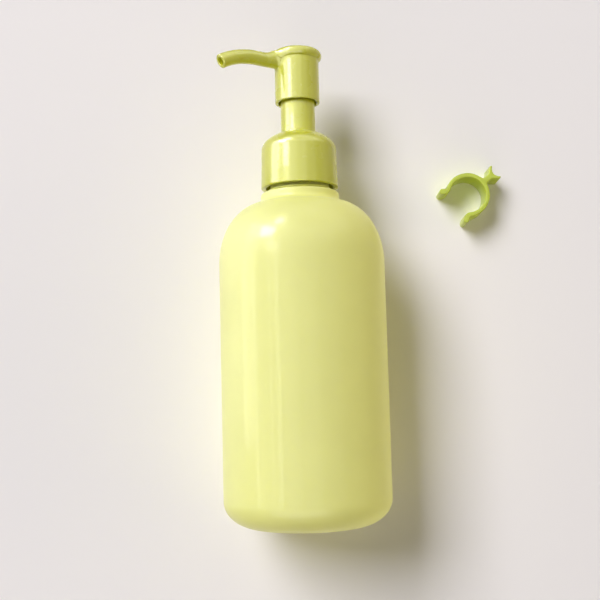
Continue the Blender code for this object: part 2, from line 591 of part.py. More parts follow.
def pump_housing():
    socket_bore = TUBE_RADIUS + GAP
    outer_cylinder = CYLINDER_RADIUS + CYLINDER_WALL
    outer_barrel = BARREL_BORE_RADIUS + BARREL_WALL
    counterbore = COLLAR_FLANGE_RADIUS + GAP
    outside = [(counterbore, FLANGE_TOP_Z), (FLANGE_RADIUS, FLANGE_TOP_Z), (FLANGE_RADIUS, FLANGE_BOTTOM_Z)]
    outside += [(outer_barrel, FLANGE_BOTTOM_Z), (outer_barrel, BARREL_BOTTOM_Z)]
    outside += [(outer_cylinder, BARREL_BOTTOM_Z - 0.0010), (outer_cylinder, SPRING_SEAT_Z)]
    outside += [(CHAMBER_RADIUS, SPRING_SEAT_Z - 0.0035), (CHAMBER_RADIUS, TUBE_SOCKET_BOTTOM_Z)]
    inside = [(socket_bore, TUBE_SOCKET_BOTTOM_Z), (socket_bore, TUBE_SOCKET_TOP_Z), (INLET_RADIUS, TUBE_SOCKET_TOP_Z)]
    inside += [(INLET_RADIUS, SEAT_BOTTOM_Z), (BALL_CHAMBER_RADIUS, SEAT_TOP_Z)]
    inside += [(BALL_CHAMBER_RADIUS, BALL_CEILING_Z), (BALL_STOP_RADIUS, BALL_CEILING_Z)]
    inside += [(BALL_STOP_RADIUS, SPRING_SEAT_Z), (CYLINDER_RADIUS, SPRING_SEAT_Z)]
    inside += [(CYLINDER_RADIUS, BARREL_BOTTOM_Z - 0.0003), (BARREL_BORE_RADIUS, BARREL_BOTTOM_Z)]
    inside += [(BARREL_BORE_RADIUS, COLLAR_SEAT_Z), (counterbore, COLLAR_SEAT_Z)]
    obj = turned("pump_housing", outside + inside, INNER_ROUND)
    vent = cylinder("vent", VENT_RADIUS, 2 * BARREL_WALL + 2 * GAP, 10)
    vent.location = (outer_cylinder, 0.0, BARREL_BOTTOM_Z - 0.0025)
    vent.rotation_euler = (0.0, math.pi / 2, 0.0)
    combine(obj, vent, "DIFFERENCE")
    return finished(obj, NATURAL_PLASTIC)


def inlet_ball():
    mesh = bpy.data.meshes.new("inlet_ball")
    shape = bmesh.new()
    bmesh.ops.create_uvsphere(shape, u_segments=18, v_segments=12, radius=BALL_RADIUS)
    shape.to_mesh(mesh)
    shape.free()
    obj = bpy.data.objects.new("inlet_ball", mesh)
    PARTS.objects.link(obj)
    obj.location = (0.0, 0.0, BALL_Z)
    return finished(obj, BALL_STEEL)


def dip_tube():
    top = TUBE_SOCKET_TOP_Z - GAP
    slope = math.tan(math.radians(TUBE_CUT))
    profile = [(TUBE_BORE_RADIUS, top), (TUBE_RADIUS, top), (TUBE_RADIUS, TUBE_BOTTOM_Z)]
    profile += [(TUBE_BORE_RADIUS, TUBE_BOTTOM_Z)]
    obj = turned("dip_tube", profile, 20)
    size = 6 * TUBE_RADIUS
    bpy.ops.mesh.primitive_cube_add(size=size)
    wedge = bpy.context.object
    wedge.name = "tube_cut"
    for home in list(wedge.users_collection):
        home.objects.unlink(wedge)
    PARTS.objects.link(wedge)
    lift = TUBE_BOTTOM_Z + slope * TUBE_RADIUS - size / 2 / math.cos(math.radians(TUBE_CUT))
    wedge.location = (0.0, 0.0, lift)
    wedge.rotation_euler = (0.0, -math.radians(TUBE_CUT), 0.0)
    combine(obj, wedge, "DIFFERENCE")
    return finished(obj, TUBE_PLASTIC)


def neck_gasket():
    bore = BARREL_BORE_RADIUS + BARREL_WALL + GAP
    bottom = GASKET_TOP_Z - GASKET_HEIGHT
    profile = [(bore, GASKET_TOP_Z), (FLANGE_RADIUS, GASKET_TOP_Z), (FLANGE_RADIUS, bottom), (bore, bottom)]
    return finished(turned("neck_gasket", profile, INNER_ROUND), GASKET_FOAM)


def clip_arm():
    """The middle line and half thickness of one half of the clip, from the ring's back to a lip.

    The opening is along +X here, and the arm is the one on the +Y side.
    """
    middle = CLIP_INNER_RADIUS + CLIP_WALL / 2
    line = []
    for step in range(17):
        angle = math.radians(180 + (CLIP_ARM_ANGLE - 180) * step / 16)
        line.append((middle * math.cos(angle), middle * math.sin(angle), CLIP_WALL / 2))
    heading = math.radians(CLIP_ARM_ANGLE - 90)
    start = line[-1]
    bend_x = start[0] - CLIP_BEND_RADIUS * math.sin(heading)
    bend_y = start[1] + CLIP_BEND_RADIUS * math.cos(heading)
    for step in range(1, 7):
        turned_by = heading + math.radians(CLIP_BEND) * step / 6
        x = bend_x + CLIP_BEND_RADIUS * math.sin(turned_by)
        y = bend_y - CLIP_BEND_RADIUS * math.cos(turned_by)
        line.append((x, y, CLIP_WALL / 2 * (1 + (CLIP_LIP_GROWTH - 1) * step / 6)))
    x, y, half = line[-1]
    direction = heading + math.radians(CLIP_BEND)
    line.append((x + CLIP_LIP_LENGTH * math.cos(direction), y + CLIP_LIP_LENGTH * math.sin(direction), half))
    return line


def clip_outline():
    line = clip_arm()
    outer, inner = [], []
    for index, (x, y, half) in enumerate(line):
        before = line[max(index - 1, 0)]
        after = line[min(index + 1, len(line) - 1)]
        length = math.hypot(after[0] - before[0], after[1] - before[1])
        ahead = ((after[0] - before[0]) / length, (after[1] - before[1]) / length)
        outer.append((x - half * ahead[1], y + half * ahead[0]))
        inner.append((x + half * ahead[1], y - half * ahead[0]))
    x, y, half = line[-1]
    direction = math.atan2(ahead[1], ahead[0])
    cap = []
    for step in range(1, 5):
        angle = direction + math.pi / 2 - math.pi * step / 5
        cap.append((x + half * math.cos(angle), y + half * math.sin(angle)))
    ring_outer = CLIP_INNER_RADIUS + CLIP_WALL
    stem_end = ring_outer + CLIP_STEM_LENGTH
    grip_end = stem_end + CLIP_GRIP_LENGTH
    stem_half = CLIP_STEM_WIDTH / 2
    grip_half = CLIP_GRIP_WIDTH / 2
    grip = []
    for step in range(5):
        share = step / 5
        grip.append((-(grip_end - CLIP_GRIP_DISH * (1 - share * share)), grip_half * 0.85 * share))
    grip += [(-grip_end, grip_half * 0.85), (-(grip_end - 0.0004), grip_half)]
    grip += [(-(grip_end - 0.0010), grip_half), (-stem_end, stem_half)]
    grip += [(-(ring_outer + 0.0008), stem_half), (-(ring_outer + 0.0001), stem_half + 0.0007)]
    outer = [p for p in outer if p[0] > -ring_outer + 0.0004 or p[1] > stem_half + 0.0012]
    upper = grip + outer + cap + inner[::-1]
    lower = [(x, -y) for x, y in reversed(upper) if y > 0.0000001]
    return upper + lower


def lock_clip():
    height = EXPOSED_SLEEVE - GAP
    obj = plate("lock_clip", clip_outline(), height)
    obj.rotation_euler = (math.pi / 2, 0.0, 0.0)
    obj.location = (CLIP_CENTRE_X, BODY_RADIUS - height / 2, CLIP_CENTRE_Z)
    turn = math.radians(CLIP_OPENING)
    for vertex in obj.data.vertices:
        x, y, z = vertex.co
        vertex.co = (x * math.cos(turn) - y * math.sin(turn), x * math.sin(turn) + y * math.cos(turn), z)
    return finished(obj, CLIP_PLASTIC)


clear_scene()
PARTS = collection("pump_bottle")
CUTTERS = collection("cutters")
BOTTLE_PLASTIC = material("bottle_plastic", BOTTLE_COLOUR, 0.28)
PUMP_PLASTIC = material("pump_plastic", PUMP_COLOUR, 0.26)
CLIP_PLASTIC = material("clip_plastic", CLIP_COLOUR, 0.40)
NATURAL_PLASTIC = material("natural_plastic", NATURAL_COLOUR, 0.45)
TUBE_PLASTIC = material("tube_plastic", NATURAL_COLOUR, 0.35)
GASKET_FOAM = material("gasket_foam", GASKET_COLOUR, 0.80)
SPRING_STEEL = material("spring_steel", STEEL_COLOUR, 0.30, 1.0)
BALL_STEEL = material("ball_steel", STEEL_COLOUR, 0.15, 1.0)

for make in (
    bottle,
    closure,
    guide_sleeve,
    pump_head,
    piston_rod,
    piston_seal,
    valve_post,
    return_spring,
    pump_housing,
    inlet_ball,
    dip_tube,
    neck_gasket,
    lock_clip,
):
    made = make()
    made.data.name = made.name
    print(made.name, len(made.data.polygons), "faces")
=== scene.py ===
"""Looks for the pump bottle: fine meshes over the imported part, plastics, a pale table, soft light.

The photograph looks down on a table that the bottle lies on. In the part's upright frame that table
is the upright plane behind the bottle, and the camera looks along +Y. Lengths are in metres, angles
in degrees, and names that end in Z are heights above the bottle's base.
"""

import math

import bmesh
import bpy
import numpy as np
from mathutils import Matrix, Vector

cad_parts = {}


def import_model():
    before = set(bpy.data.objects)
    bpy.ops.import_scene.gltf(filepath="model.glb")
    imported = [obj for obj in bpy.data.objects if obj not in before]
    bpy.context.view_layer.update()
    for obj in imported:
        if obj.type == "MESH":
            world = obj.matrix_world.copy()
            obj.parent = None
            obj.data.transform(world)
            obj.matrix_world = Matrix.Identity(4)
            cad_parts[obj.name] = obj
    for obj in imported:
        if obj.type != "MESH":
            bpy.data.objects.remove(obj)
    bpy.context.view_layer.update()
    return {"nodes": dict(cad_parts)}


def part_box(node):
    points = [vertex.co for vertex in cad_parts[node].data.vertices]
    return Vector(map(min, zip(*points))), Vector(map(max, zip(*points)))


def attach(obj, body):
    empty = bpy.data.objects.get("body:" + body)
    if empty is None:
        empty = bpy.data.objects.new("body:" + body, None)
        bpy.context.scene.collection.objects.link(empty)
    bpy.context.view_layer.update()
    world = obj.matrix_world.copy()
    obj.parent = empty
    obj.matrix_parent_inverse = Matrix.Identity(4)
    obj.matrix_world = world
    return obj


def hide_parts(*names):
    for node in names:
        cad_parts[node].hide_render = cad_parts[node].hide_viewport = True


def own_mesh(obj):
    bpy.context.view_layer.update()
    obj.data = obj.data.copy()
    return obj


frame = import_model()

GAP = 0.0003
FINE_ROUND = 0.0001
SHARP_ANGLE = 38
FINE_SHARP_ANGLE = 32

# Fineness of the meshes: sides about an axis, and steps along a line
BOTTLE_SIDES = 192
CLOSURE_SIDES = 160
SLEEVE_SIDES = 128
HEAD_SIDES = 220
SPOUT_SIDES = 72
SPRING_SIDES = 12
THREAD_SIDES = 12
ROUND_STEPS = 5
BODY_STEPS = 8
DISH_STEPS = 16
SKIRT_STEPS = 40
SPOUT_STEPS = 90
SPOUT_BORE_STEPS = 30
SPOUT_LINE_STEPS = 60
ARM_STEPS = 48
LIP_STEPS = 12
GRIP_STEPS = 10
ROOT_STEPS = 6
SPRING_STEPS_PER_TURN = 36
THREAD_STEPS_PER_TURN = 48
HALVINGS = 40
PUSH_ROUNDS = 12
JOIN_DISTANCE = 0.000002
THIN_DISTANCE = 0.000001
LEVEL_TOLERANCE = 0.000001
MIRROR_TOLERANCE = 0.0000001

# Camera, as fitted to the photograph
CAMERA_PLACE = (-0.00232, -0.35971, 0.04446)
CAMERA_YAW = -0.21
CAMERA_PITCH = 5.78
CAMERA_ROLL = 1.52
CAMERA_LENS = 59.77
CAMERA_SENSOR = 36.0
CAMERA_CLIP = (0.01, 20.0)

# Bottle
BODY_RADIUS = 0.0300
BODY_WALL = 0.0014
BASE_CORNER_WIDTH = 0.0130
BASE_CORNER_HEIGHT = 0.0097
STANDING_RING = 0.0030
BASE_RECESS = 0.0008
RECESS_SLOPE = 0.0016
RING_ROUND = 0.0008
FLOOR_Z = 0.0024
SHOULDER_Z = 0.0939
SHOULDER_HEIGHT = 0.0221
SHOULDER_WIDTH = 0.01593
STEP_RADIUS = 0.0143
STEP_FOOT = 0.0022
STEP_TOP_Z = 0.1200
STEP_ROUND = 0.0010
STEP_INNER_ROUND = 0.0006
SHOULDER_INNER_ROUND = 0.0004
NECK_ROOT_RADIUS = 0.01085
NECK_BORE_RADIUS = 0.0084
NECK_TOP_Z = 0.1336
NECK_TOP_ROUND = 0.0004
BEAD_RADIUS = 0.0114
BEAD_Z = 0.1208
BEAD_HEIGHT = 0.0006
BEAD_ROUND = 0.00022

# Threads: a thread's core stands a little off its wall and grows thinner towards its ends
PITCH = 0.003175
THREAD_STAND = 0.0001
THREAD_TAPER_STEPS = 8
THREAD_END_SHARE = 0.35
NECK_THREAD_CORE = 0.00085
NECK_THREAD_TURNS = 1.5
NECK_THREAD_DROP = 0.0018
NECK_THREAD_Z = NECK_TOP_Z - NECK_THREAD_DROP - NECK_THREAD_TURNS * PITCH
CLOSURE_THREAD_CORE = 0.0007
CLOSURE_THREAD_TURNS = 1.25
CLOSURE_THREAD_Z = NECK_THREAD_Z - PITCH / 2

# Closure
LIP_Z = 0.1219
LIP_RADIUS = 0.0141
LIP_ROUND = 0.00028
CLOSURE_TOP_RADIUS = 0.01376
CLOSURE_BORE_RADIUS = 0.0123
CLOSURE_BORE_ROUND = 0.0003
DOME_Z = 0.1360
DOME_WIDTH = 0.02236
DOME_HEIGHT = 0.00894
DOME_WALL = 0.0015
SEAT_Z = 0.1378
SEAT_RADIUS = 0.0076
SEAT_ROUND = 0.0008

# Guide sleeve and head
SLEEVE_RADIUS = 0.00632
SLEEVE_HOLE_RADIUS = 0.00675
SLEEVE_BORE_RADIUS = 0.0050
SLEEVE_BORE_START = 0.004
SLEEVE_ROUND = 0.0003
EXPOSED_SLEEVE = 0.01148
SLEEVE_OVERLAP = 0.0006
COLLAR_TUBE_RADIUS = 0.0061
COLLAR_FLANGE_RADIUS = 0.0083
COLLAR_FLANGE_HEIGHT = 0.0009
FLANGE_TOP_Z = 0.1375
GUIDE_Z = SEAT_Z - 0.0079
GUIDE_RADIUS = 0.0035
GUIDE_HEIGHT = 0.0015
STROKE = 0.0112
HEAD_HEIGHT = 0.0195
SKIRT_RADIUS = 0.0082
SKIRT_BORE_RADIUS = 0.0071
SKIRT_LEAD = 0.0006
SKIRT_ROUND = 0.0002
CAVITY_ROUND = 0.0003
SOCKET_RADIUS = 0.0045
SOCKET_BORE_RADIUS = 0.0034
SOCKET_RISE = 0.00085
ROD_ROOM = 0.00105
CHANNEL_RADIUS = 0.0017
RIM_RADIUS = 0.00935
RIM_ROUND = 0.00188
DISH_DEPTH = 0.0006
SPOUT_TURN = 28.0
SPOUT_RADIUS = 0.0026
SPOUT_BORE_RADIUS = 0.0015
SPOUT_REACH = 0.0308
SPOUT_BEND_RADIUS = 0.025
SPOUT_BEND = 30.0
SPOUT_RISE = 2.2
SPOUT_DROP = 0.0051
SPOUT_START = 0.0045
SPOUT_BORE_START = 0.006
SPOUT_EDGE_ROUND = 0.0004
SPOUT_MOUTH_ROUND = 0.0003
UPPER_FILLET = 0.0046
LOWER_FILLET = 0.0012
FILLET_CHANGE_DROP = 0.0012
FILLET_CHANGE = 0.0030
RIM_FREE = 0.0018
RIM_FILLET_SHARE = 0.1

# Lock clip
CLIP_CENTRE = (0.0650, 0.1220)
CLIP_INNER_RADIUS = 0.00694
CLIP_WALL = 0.0016
CLIP_BEVEL = 0.00032
CLIP_OPENING = 218.0
CLIP_ARM_ANGLE = 58.0
CLIP_BEND_RADIUS = 0.0017
CLIP_BEND = 68.0
CLIP_LIP_LENGTH = 0.0010
CLIP_LIP_GROWTH = 1.3
CLIP_STEM_WIDTH = 0.0022
CLIP_STEM_LENGTH = 0.0031
CLIP_ROOT_FILLET = 0.0009
CLIP_ROOT_SINK = 0.0001
CLIP_ROOT_WIDTH = 0.0013
CLIP_ROOT_DEPTH = 0.001
CLIP_GRIP_WIDTH = 0.0060
CLIP_GRIP_LENGTH = 0.0029
CLIP_GRIP_DISH = 0.0015
CLIP_DISH_SHARE = 0.85
# Back from the grip's end, and the share of half its width
CLIP_GRIP_TIP = ((0.0, CLIP_DISH_SHARE), (0.0002, 0.96), (0.0005, 1.0), (0.0010, 1.0))
# Back from the stem's end, and out from its side
CLIP_GRIP_FLANK = ((0.0, 0.0002), (0.0005, 0.0))

# Return spring
SPRING_WIRE = 0.0004
SPRING_RADIUS = 0.0040
SPRING_TURNS = 7.5
SPRING_CLOSED_TURNS = 0.75
SPRING_END_GAP = 0.0002

# Colours as linear values
BOTTLE_COLOUR = (0.765, 0.775, 0.25)
PUMP_COLOUR = (0.50, 0.51, 0.02)
CLIP_COLOUR = (0.41, 0.49, 0.020)
NATURAL_COLOUR = (0.79, 0.79, 0.75)
GASKET_COLOUR = (0.84, 0.84, 0.82)
STEEL_COLOUR = (0.56, 0.57, 0.58)
TABLE_COLOUR = (0.895, 0.87, 0.835)
WORLD_COLOUR = (1.0, 0.98, 0.95)

# Surfaces: the noises as scale and detail, of which the part between low and high is used
NOISE_LOW = 0.35
NOISE_HIGH = 0.65
FLOW_NOISE = (60.0, 4.0)
SKIN_NOISE = (2500.0, 2.0)
SKIN_BUMP = 0.25
SKIN_GRAIN = 0.00001
FOAM_GRAIN = 0.00008
ROUGHNESS_SHARES = (0.92, 1.08)
COAT_ROUGHNESS = 0.04
SUBSURFACE_RADIUS = (1.0, 0.9, 0.35)
STEEL_NOISE = (900.0, 5.0)
STEEL_BUMP = 0.2
STEEL_TONE_SHARES = (0.93, 1.05)
STEEL_ROUGHNESS_SHARES = (0.8, 1.2)
TABLE_NOISE = (3.0, 2.0)
TABLE_TONE_SHARES = (0.99, 1.01)
TABLE_ROUGHNESS = 0.9

# Stage and light
TABLE_HALF = 3.0
TABLE_Y = BODY_RADIUS + 0.0001
WORLD_LEVEL = 0.05
LAMP_AIM = (0, 0, 0.1)
SOFT_LIGHT_DISTANCE = 4.0
WINDOW_DISTANCE = 1.5
# Name, direction, angles across and up, level on a facing white sheet, colour
SOFT_LIGHTS = (
    ("key", (-0.463, -0.718, 0.46), (25, 34), 1.015, (0.965, 0.955, 1.05)),
    ("right_fill", (0.85, -0.45, 0.22), (55, 55), 0.09, (1.10, 0.95, 0.72)),
    ("low_fill", (-0.30, -0.65, -0.70), (50, 50), 0.13, (1.03, 0.94, 0.80)),
    ("under_light", (-0.12, -0.10, -0.97), (50, 50), 0.36, (1.03, 0.94, 0.78)),
    ("edge_light", (0.93, -0.06, 0.12), (40, 40), 0.30, (1.10, 0.95, 0.60)),
    ("rim_light", (0.90, 0.40, -0.05), (30, 30), 0.12, (1.0, 0.93, 0.55)),
    ("back_light", (0.15, 0.80, 0.55), (40, 40), 0.28, (1.0, 0.98, 0.95)),
)
# Name, azimuth, elevation, angles across and up, brightness
WINDOWS = (
    ("pane_left", 65.5, 17.8, (6.9, 12.5), 11.0),
    ("pane_middle", 55, 17.8, (13.6, 12.5), 5.5),
    ("pane_right", 39.5, 17.8, (16.5, 12.5), 18.0),
    ("upper_pane_left", 55, 37, (20, 14), 46.0),
    ("upper_pane_left_glow", 54.5, 37, (23, 17), 8.0),
    ("upper_pane_right", 42, 55, (10, 9), 42.0),
    ("upper_pane_right_glow", 43, 54, (16, 15), 8.0),
    ("low_strip_left", 69, -2.5, (5, 27), 8.0),
    ("low_strip_middle", 46, -2.5, (2, 27), 8.0),
    ("low_strip_right", 35, -2.5, (6, 27), 6.0),
    ("low_haze", 50, -2.5, (37, 27), 4.5),
    ("left_haze", 87, 20, (36, 50), 8.5),
    ("far_left_haze", 132, 20, (54, 50), 21.5),
    ("front_haze_1", 18, 15, (25, 60), 4.2),
    ("front_haze_2", -8.5, 15, (26, 60), 3.1),
    ("front_haze_3", -37, 15, (29, 60), 1.4),
    ("front_haze_4", -71, 15, (37, 60), 0.4),
    ("low_front_haze", 12, -38, (70, 40), 5.0),
    ("top_haze", 20, 80, (110, 80), 2.8),
)


def dome_height(radius):
    """The height of the closure's dome at a radius."""
    share = (radius - CLOSURE_TOP_RADIUS + DOME_WIDTH) / DOME_WIDTH
    return DOME_Z + DOME_HEIGHT * math.sqrt(1 - share * share)


SKIRT_Z = dome_height(SLEEVE_HOLE_RADIUS) + EXPOSED_SLEEVE
SLEEVE_TOP_Z = SKIRT_Z + SLEEVE_OVERLAP
HEAD_TOP_Z = SKIRT_Z + HEAD_HEIGHT
RIM_CENTRE = (RIM_RADIUS - RIM_ROUND, HEAD_TOP_Z - RIM_ROUND)
SPOUT_Z = HEAD_TOP_Z - SPOUT_DROP


# ---- meshes ----
def circle(count):
    """The angles of a whole turn in equal steps, in radians."""
    return [2 * math.pi * step / count for step in range(count)]


def arc(centre, radii, start, end, count):
    """Points along part of an ellipse."""
    points = []
    for step in range(count + 1):
        angle = math.radians(start + (end - start) * step / count)
        across, up = radii[0] * math.cos(angle), radii[1] * math.sin(angle)
        points.append((centre[0] + across, centre[1] + up))
    return points


def rounded(corners):
    """Rounds the corners of a line of (r, z, radius) points."""
    points = []
    for index, (r, z, radius) in enumerate(corners):
        here = Vector((r, z))
        if radius <= 0 or index in (0, len(corners) - 1):
            points.append((r, z))
            continue
        before = (Vector(corners[index - 1][:2]) - here).normalized()
        after = (Vector(corners[index + 1][:2]) - here).normalized()
        half = before.angle(after) / 2
        reach = radius / math.tan(half)
        first, last = here + before * reach, here + after * reach
        middle = here + (before + after).normalized() * (radius / math.sin(half))
        start, end = first - middle, last - middle
        turn = start.angle(end)
        for step in range(ROUND_STEPS + 1):
            share = step / ROUND_STEPS
            mixed = start * math.sin((1 - share) * turn) + end * math.sin(share * turn)
            points.append(tuple(middle + mixed / math.sin(turn)))
    return points


def link(name, mesh):
    """An object with this mesh, in the scene."""
    obj = bpy.data.objects.new(name, mesh)
    bpy.context.scene.collection.objects.link(obj)
    return obj


def grid_mesh(name, rings, close_rows=False, cap_ends=False):
    """A mesh through rings of points, all with the same count."""
    count = len(rings[0])
    verts = [tuple(p) for ring in rings for p in ring]
    faces = []
    rows = len(rings) if close_rows else len(rings) - 1
    for i in range(rows):
        a, b = i * count, ((i + 1) % len(rings)) * count
        for j in range(count):
            k = (j + 1) % count
            faces.append((a + j, a + k, b + k, b + j))
    if cap_ends:
        faces.append(tuple(range(count - 1, -1, -1)))
        last = (len(rings) - 1) * count
        faces.append(tuple(range(last, last + count)))
    mesh = bpy.data.meshes.new(name)
    mesh.from_pydata(verts, [], faces)
    return mesh


def clean(mesh):
    """Joins points in one place, takes out faces without area and turns the faces outward."""
    shape = bmesh.new()
    shape.from_mesh(mesh)
    bmesh.ops.remove_doubles(shape, verts=shape.verts, dist=JOIN_DISTANCE)
    bmesh.ops.dissolve_degenerate(shape, edges=shape.edges, dist=THIN_DISTANCE)
    bmesh.ops.recalc_face_normals(shape, faces=shape.faces)
    shape.to_mesh(mesh)
    shape.free()


def face_out(mesh):
    """Turns the faces of a closed mesh outward."""
    shape = bmesh.new()
    shape.from_mesh(mesh)
    bmesh.ops.recalc_face_normals(shape, faces=shape.faces)
    shape.to_mesh(mesh)
    shape.free()


def smooth(mesh, angle=SHARP_ANGLE):
    """Smooth shading, with edges sharper than the angle kept sharp."""
    mesh.shade_smooth()
    mesh.set_sharp_from_angle(angle=math.radians(angle))


def lathe(profile, sides, closed):
    """Rings of a profile of (r, z) points turned about Z."""
    around = circle(sides)
    rings = [
        [(radius * math.cos(angle), radius * math.sin(angle), z) for angle in around]
        for radius, z in profile
    ]
    return grid_mesh("lathe", rings, close_rows=closed)


def turned(name, profile, sides, closed=True):
    """An object turned about Z. A profile that starts and ends on the axis isn't closed."""
    mesh = lathe(profile, sides, closed)
    mesh.name = name
    clean(mesh)
    smooth(mesh)
    return link(name, mesh)


def sweep_rings(path, radii, sides):
    """Round rings along a path of points, square to it."""
    up = Vector((0, 0, 1))
    rings = []
    for index, point in enumerate(path):
        before = path[max(index - 1, 0)]
        after = path[min(index + 1, len(path) - 1)]
        ahead = (Vector(after) - Vector(before)).normalized()
        side = ahead.cross(up).normalized()
        top = side.cross(ahead).normalized()
        rings.append([
            Vector(point) + radii[index] * (math.cos(angle) * side + math.sin(angle) * top)
            for angle in circle(sides)
        ])
    return rings


def helix_path(radius, start_z, turns):
    """Points along a right-handed thread."""
    points = []
    for step in range(round(turns * THREAD_STEPS_PER_TURN) + 1):
        angle = 2 * math.pi * step / THREAD_STEPS_PER_TURN
        z = start_z + PITCH * step / THREAD_STEPS_PER_TURN
        points.append((radius * math.cos(angle), radius * math.sin(angle), z))
    return points


def add_thread(obj, radius, core, start_z, turns):
    """Joins a rounded thread to a turned piece."""
    path = helix_path(radius, start_z, turns)
    last = len(path) - 1
    radii = []
    for index in range(last + 1):
        growth = (1 - THREAD_END_SHARE) * min(index, last - index) / THREAD_TAPER_STEPS
        radii.append(core * min(1.0, THREAD_END_SHARE + growth))
    add_mesh(obj, grid_mesh("thread", sweep_rings(path, radii, THREAD_SIDES), cap_ends=True))


def add_mesh(obj, mesh):
    """Joins a closed mesh to an object's own."""
    face_out(mesh)
    shape = bmesh.new()
    shape.from_mesh(obj.data)
    shape.from_mesh(mesh)
    shape.to_mesh(obj.data)
    shape.free()
    bpy.data.meshes.remove(mesh)
    smooth(obj.data)


# ---- materials ----
class Nodes:
    """Short ways to build a material's nodes."""

    def __init__(self, name):
        self.material = bpy.data.materials.new(name)
        self.material.use_nodes = True
        self.tree = self.material.node_tree
        self.shader = self.tree.nodes["Principled BSDF"]
        self.place = self.add("ShaderNodeTexCoord").outputs["Object"]

    def add(self, kind, **settings):
        node = self.tree.nodes.new(kind)
        for key, value in settings.items():
            setattr(node, key, value)
        return node

    def join(self, out, socket):
        self.tree.links.new(out, socket)

    def noise(self, scale, detail):
        node = self.add("ShaderNodeTexNoise")
        node.inputs["Scale"].default_value = scale
        node.inputs["Detail"].default_value = detail
        self.join(self.place, node.inputs["Vector"])
        return node.outputs["Fac"]

    def ramp(self, out, low, high):
        node = self.add("ShaderNodeMapRange")
        node.inputs["From Min"].default_value = NOISE_LOW
        node.inputs["From Max"].default_value = NOISE_HIGH
        node.inputs["To Min"].default_value = low
        node.inputs["To Max"].default_value = high
        self.join(out, node.inputs["Value"])
        return node.outputs["Result"]

    def tint(self, out, colour, shares):
        """The base colour, between two shares of a colour as the noise rises."""
        factor = self.ramp(out, 0.0, 1.0)
        node = self.add("ShaderNodeMix", data_type="RGBA")
        self.join(factor, node.inputs["Factor"])
        for socket, share in zip(node.inputs[6:8], shares):
            socket.default_value = (*shade(colour, share), 1)
        self.join(node.outputs[2], self.shader.inputs["Base Color"])

    def roughen(self, out, roughness, shares):
        """The roughness, between two shares of a value as the noise rises."""
        uneven = self.ramp(out, roughness * shares[0], roughness * shares[1])
        self.join(uneven, self.shader.inputs["Roughness"])

    def bump(self, out, strength, distance):
        node = self.add("ShaderNodeBump")
        node.inputs["Strength"].default_value = strength
        node.inputs["Distance"].default_value = distance
        self.join(out, node.inputs["Height"])
        self.join(node.outputs["Normal"], self.shader.inputs["Normal"])

    def set(self, **values):
        """Sets inputs of the shader, with _ for a space in their names."""
        for key, value in values.items():
            self.shader.inputs[key.replace("_", " ")].default_value = value


def shade(colour, factor):
    """A colour made lighter or darker, no lighter than white."""
    return tuple(min(1.0, c * factor) for c in colour)


def plastic(
    name, colour, roughness, variation,
    grain=SKIN_GRAIN, coat=0.0, gloss=0.5, subsurface=0.0, depth=0.0006,
):
    """Moulded plastic: faint flow marks in the colour, slightly uneven gloss, a fine skin."""
    nodes = Nodes(name)
    flow = nodes.noise(*FLOW_NOISE)
    fine = nodes.noise(*SKIN_NOISE)
    nodes.tint(flow, colour, (1 - variation, 1 + variation))
    nodes.roughen(flow, roughness, ROUGHNESS_SHARES)
    nodes.bump(fine, SKIN_BUMP, grain)
    nodes.set(
        Specular_IOR_Level=gloss,
        Coat_Weight=coat,
        Coat_Roughness=COAT_ROUGHNESS,
        Subsurface_Weight=subsurface,
        Subsurface_Radius=SUBSURFACE_RADIUS,
        Subsurface_Scale=depth,
    )
    return nodes.material


def steel(name, roughness):
    """Steel with fine drawing or polishing marks."""
    nodes = Nodes(name)
    marks = nodes.noise(*STEEL_NOISE)
    nodes.tint(marks, STEEL_COLOUR, STEEL_TONE_SHARES)
    nodes.roughen(marks, roughness, STEEL_ROUGHNESS_SHARES)
    nodes.bump(marks, STEEL_BUMP, SKIN_GRAIN)
    nodes.set(Metallic=1.0)
    return nodes.material


BOTTLE_PLASTIC = plastic(
    "bottle_plastic", BOTTLE_COLOUR, roughness=0.36, variation=0.012,
    coat=0.15, gloss=0.10, subsurface=0.2, depth=0.0012,
)
PUMP_PLASTIC = plastic(
    "pump_plastic", PUMP_COLOUR, roughness=0.28, variation=0.015,
    coat=0.44, gloss=0.38, subsurface=0.1,
)
CLIP_PLASTIC = plastic(
    "clip_plastic", CLIP_COLOUR, roughness=0.34, variation=0.03,
    coat=0.2, gloss=0.2,
)
NATURAL_PLASTIC = plastic(
    "natural_plastic", NATURAL_COLOUR, roughness=0.45, variation=0.03, subsurface=0.4
)
TUBE_PLASTIC = plastic(
    "tube_plastic", NATURAL_COLOUR, roughness=0.35, variation=0.03, subsurface=0.4
)
GASKET_FOAM = plastic(
    "gasket_foam", GASKET_COLOUR, roughness=0.80, variation=0.04, grain=FOAM_GRAIN
)
SPRING_STEEL = steel("spring_steel", roughness=0.30)
BALL_STEEL = steel("ball_steel", roughness=0.12)


def dress(obj, surface, slot, body, *nodes):
    """Gives a piece its surface, its body and the nodes that it stands for."""
    obj.data.materials.clear()
    obj.data.materials.append(surface)
    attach(obj, body)
    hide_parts(*nodes)


# ---- pieces ----
def step_foot_angle(centre):
    """Where on the shoulder's ellipse the step's foot fillet touches it, in degrees."""
    low, high = 0.0, math.pi / 2
    for _ in range(HALVINGS):
        middle = (low + high) / 2
        normal = (math.cos(middle) / SHOULDER_WIDTH, math.sin(middle) / SHOULDER_HEIGHT)
        out = STEP_FOOT * normal[0] / math.hypot(*normal)
        radius = centre[0] + SHOULDER_WIDTH * math.cos(middle) + out
        if radius > STEP_RADIUS + STEP_FOOT:
            low = middle
        else:
            high = middle
    return math.degrees(low)


